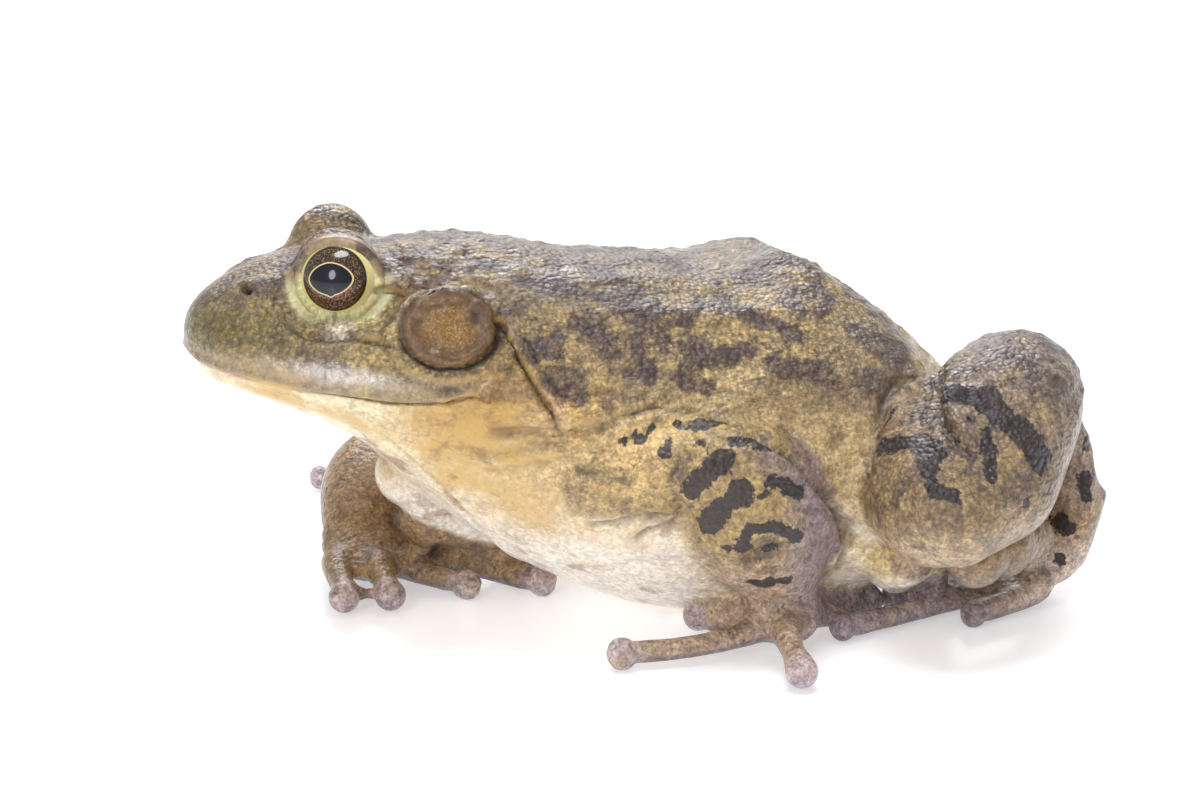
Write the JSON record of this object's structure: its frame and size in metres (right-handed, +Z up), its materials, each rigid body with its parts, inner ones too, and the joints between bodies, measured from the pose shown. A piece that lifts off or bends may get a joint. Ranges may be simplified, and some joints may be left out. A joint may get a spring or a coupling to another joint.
{
  "type": "bullfrog",
  "caption": "Still, life-size American bullfrog sitting with its belly on the ground, forelegs turned in, hind legs folded and head turned a little to its right.",
  "frame": {"origin": "middle of the bottom of the bounding box, on the ground the frog rests on", "axes": "+Z up; the snout points towards -X, turned 16 degrees towards +Y; the frog's left side faces -Y"},
  "size_m": [0.169, 0.161, 0.0769],
  "materials": {
    "skin": "satin",
    "eye": "gloss"
  },
  "bodies": {
    "root": {"eardrum_left": "skin", "eardrum_right": "skin", "eye_left": "eye", "eye_right": "eye", "finger_1_left": "skin", "finger_1_right": "skin", "finger_2_left": "skin", "finger_2_right": "skin", "finger_3_left": "skin", "finger_3_right": "skin", "finger_4_left": "skin", "finger_4_right": "skin", "forearm_left": "skin", "forearm_right": "skin", "head": "skin", "lower_jaw": "skin", "palm_left": "skin", "palm_right": "skin", "shank_left": "skin", "shank_right": "skin", "sole_left": "skin", "sole_right": "skin", "tarsus_left": "skin", "tarsus_right": "skin", "thigh_left": "skin", "thigh_right": "skin", "toe_1_left": "skin", "toe_1_right": "skin", "toe_2_left": "skin", "toe_2_right": "skin", "toe_3_left": "skin", "toe_3_right": "skin", "toe_4_left": "skin", "toe_4_right": "skin", "toe_5_left": "skin", "toe_5_right": "skin", "trunk": "skin", "upper_arm_left": "skin", "upper_arm_right": "skin"}
  },
  "joints": []
}
